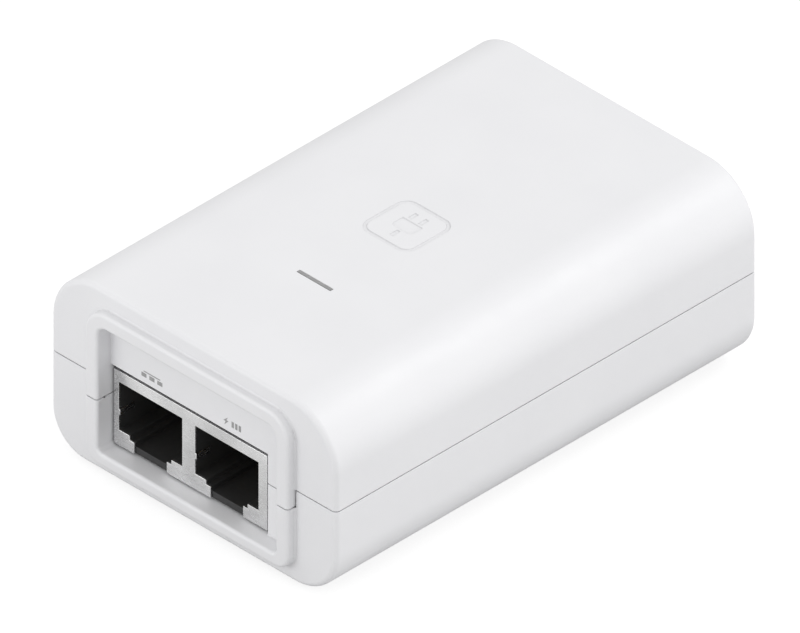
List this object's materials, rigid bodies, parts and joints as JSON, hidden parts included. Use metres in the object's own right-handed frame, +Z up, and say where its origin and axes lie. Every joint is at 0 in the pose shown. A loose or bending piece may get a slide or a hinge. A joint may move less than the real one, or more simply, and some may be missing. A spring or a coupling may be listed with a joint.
{
  "type": "poe injector",
  "caption": "Small white mains power unit that adds power to a network cable, with shielded network ports in a raised bezel and a mains inlet behind.",
  "frame": {"origin": "middle of the footprint, level with the soles of the rubber feet", "axes": "+Z up, +Y from the network ports to the mains inlet, +X to the right when facing the ports"},
  "size_m": [0.0522, 0.0798, 0.0294],
  "materials": {
    "white_case": "fine satin texture",
    "grey_rubber": "matte",
    "frosted_lens": "frosted",
    "plated_steel": "bright tin plate",
    "black_plastic": "moulded",
    "gold_plate": "gold flash",
    "tinned_metal": "tinned",
    "brass_pin": "nickel plated",
    "green_board": "solder mask over glass laminate",
    "clear_sheet": "thin film",
    "dark_ceramic": "dipped",
    "blue_ceramic": "dipped",
    "yellow_plastic": "taped",
    "can_aluminium": "satin",
    "ferrite": "sintered",
    "copper_wire": "enamelled"
  },
  "bodies": {
    "case": {"bottom_shell": "white_case", "bridge_rectifier": "black_plastic", "bulk_capacitor": "can_aluminium", "choke_core": "ferrite", "choke_windings": "copper_wire", "circuit_board": "green_board", "contact_carriers": "black_plastic", "contact_leads": "gold_plate", "fuse": "black_plastic", "heat_sink": "can_aluminium", "indicator_led": "frosted_lens", "inlet_housing": "black_plastic", "inlet_pins": "brass_pin", "inrush_thermistor": "dark_ceramic", "insulation_sheet": "clear_sheet", "jack_housing": "black_plastic", "jack_shield": "plated_steel", "jack_solder_pins": "tinned_metal", "lan_transformer": "black_plastic", "led_light_pipe": "frosted_lens", "optocoupler": "black_plastic", "output_capacitors": "can_aluminium", "output_diode": "black_plastic", "output_inductor_core": "ferrite", "output_inductor_winding": "copper_wire", "poe_controller": "black_plastic", "pwm_controller": "black_plastic", "rubber_feet": "grey_rubber", "switching_transistor": "black_plastic", "top_shell": "white_case", "transformer_bobbin": "black_plastic", "transformer_core": "ferrite", "transformer_winding": "yellow_plastic", "x_capacitor": "yellow_plastic", "y_capacitor": "blue_ceramic"},
    "lan_contacts": {"lan_contact_springs": "gold_plate"},
    "poe_contacts": {"poe_contact_springs": "gold_plate"}
  },
  "joints": [
    {"name": "lan_contact_flex", "type": "hinge", "parent": "case", "child": "lan_contacts", "pos_m": [-0.00928, -0.03525, 0.0141], "axis": [1, 0, 0], "range_deg": [0, 11], "stiffness_Nm_per_rad": 0.3},
    {"name": "poe_contact_flex", "type": "hinge", "parent": "case", "child": "poe_contacts", "pos_m": [0.00469, -0.03525, 0.0141], "axis": [1, 0, 0], "range_deg": [0, 11], "stiffness_Nm_per_rad": 0.3}
  ]
}
